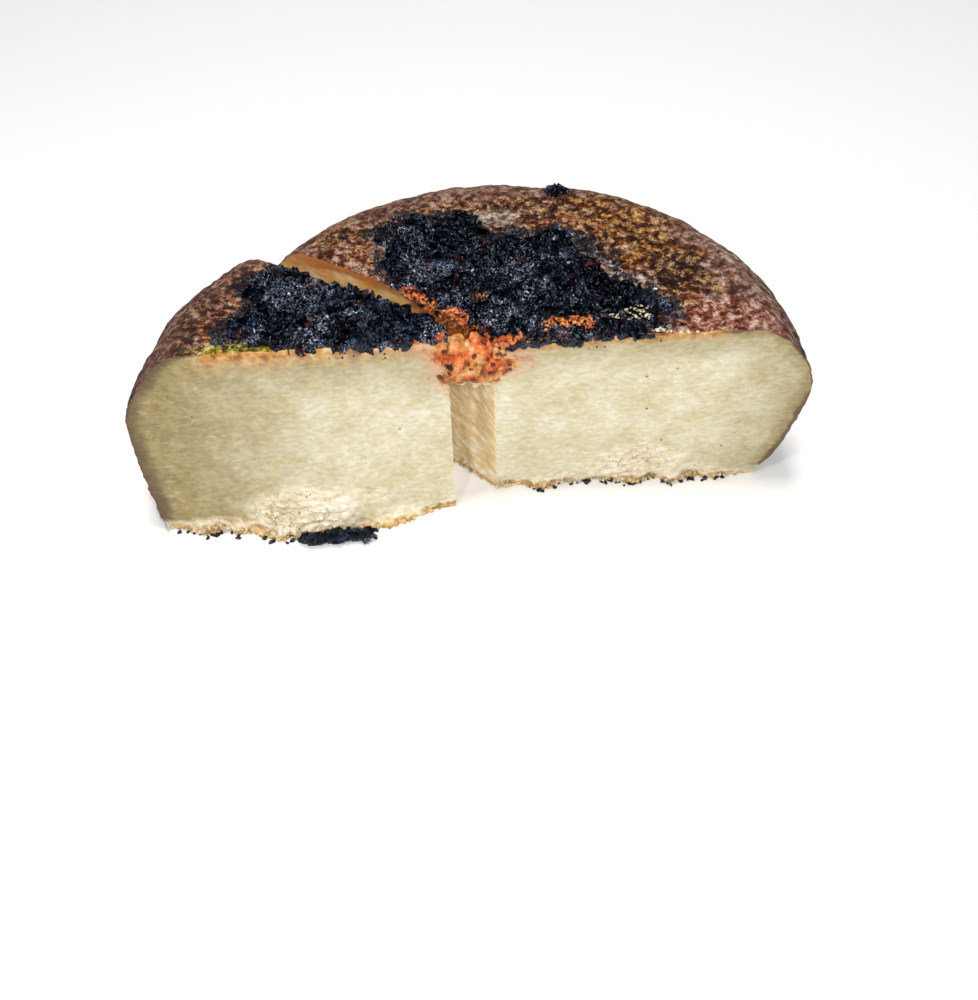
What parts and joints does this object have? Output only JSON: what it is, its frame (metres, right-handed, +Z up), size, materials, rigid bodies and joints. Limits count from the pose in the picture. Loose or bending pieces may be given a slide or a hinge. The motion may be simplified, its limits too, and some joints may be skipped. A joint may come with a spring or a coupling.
{
  "type": "half wheel of pecorino cheese",
  "caption": "Half wheel of aged pecorino cut into a large portion and a slice, with a crust of wine grape skins on top; rests flat on its underside.",
  "frame": {"origin": "middle of the whole part's footprint, on the flat underside", "axes": "+X along the straight front cut towards the large portion's rim, +Y from the front cut towards the round back, +Z up"},
  "size_m": [0.2139, 0.124, 0.0729],
  "materials": {
    "cheese": "pale close-grained cut cheese with a mottled mauve-brown rind",
    "pomace": "wet blue-black grape skins, matted and crumpled"
  },
  "bodies": {
    "root": {"right_portion": "cheese", "left_slice": "cheese", "right_pomace": "pomace", "left_pomace": "pomace", "rim_pomace": "pomace", "foot_pomace": "pomace"}
  },
  "joints": []
}
